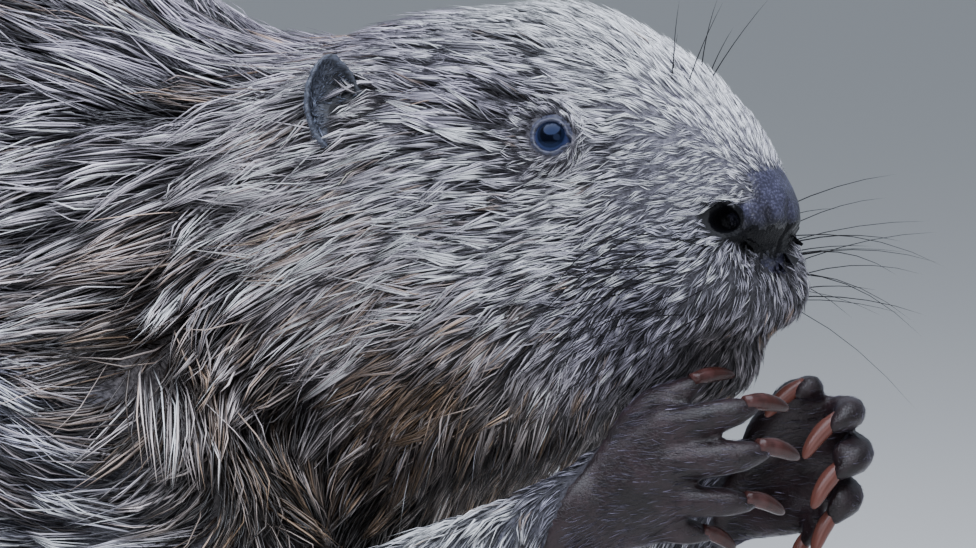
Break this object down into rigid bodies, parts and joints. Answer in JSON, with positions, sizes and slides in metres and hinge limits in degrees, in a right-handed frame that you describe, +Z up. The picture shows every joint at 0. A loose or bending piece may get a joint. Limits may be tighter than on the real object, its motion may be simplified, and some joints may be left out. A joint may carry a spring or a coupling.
{
  "type": "sitting beaver model",
  "caption": "Life-size still model of a beaver sitting up on its haunches with both forepaws raised to its mouth, its flat scaly tail laid out behind.",
  "frame": {"origin": "the middle of the bounding box, on the floor that the model rests on", "axes": "+X the way the beaver faces, +Y its left, +Z up"},
  "size_m": [0.868, 0.3426, 0.3644],
  "materials": {
    "coat": "wet grey-brown fur in pointed locks",
    "bare_skin": "dark pebbled skin of the nose, hands and feet",
    "scales": "dark horny tail scales",
    "claw": "polished horn",
    "eyeball": "wet, glossy"
  },
  "bodies": {
    "root": {"claw_foot_left_1": "claw", "claw_foot_left_2": "claw", "claw_foot_left_3": "claw", "claw_foot_left_4": "claw", "claw_foot_left_5": "claw", "claw_foot_right_1": "claw", "claw_foot_right_2": "claw", "claw_foot_right_3": "claw", "claw_foot_right_4": "claw", "claw_foot_right_5": "claw", "claw_hand_left_1": "claw", "claw_hand_left_2": "claw", "claw_hand_left_3": "claw", "claw_hand_left_4": "claw", "claw_hand_left_5": "claw", "claw_hand_right_1": "claw", "claw_hand_right_2": "claw", "claw_hand_right_3": "claw", "claw_hand_right_4": "claw", "claw_hand_right_5": "claw", "ear_left": "coat", "ear_right": "coat", "eye_left": "eyeball", "eye_right": "eyeball", "foot_left": "bare_skin", "foot_right": "bare_skin", "forearm_left": "coat", "forearm_right": "coat", "hand_left": "bare_skin", "hand_right": "bare_skin", "head": "coat", "neck": "coat", "nose": "bare_skin", "tail": "scales", "thigh_left": "coat", "thigh_right": "coat", "trunk": "coat", "upper_arm_left": "coat", "upper_arm_right": "coat"}
  },
  "joints": []
}
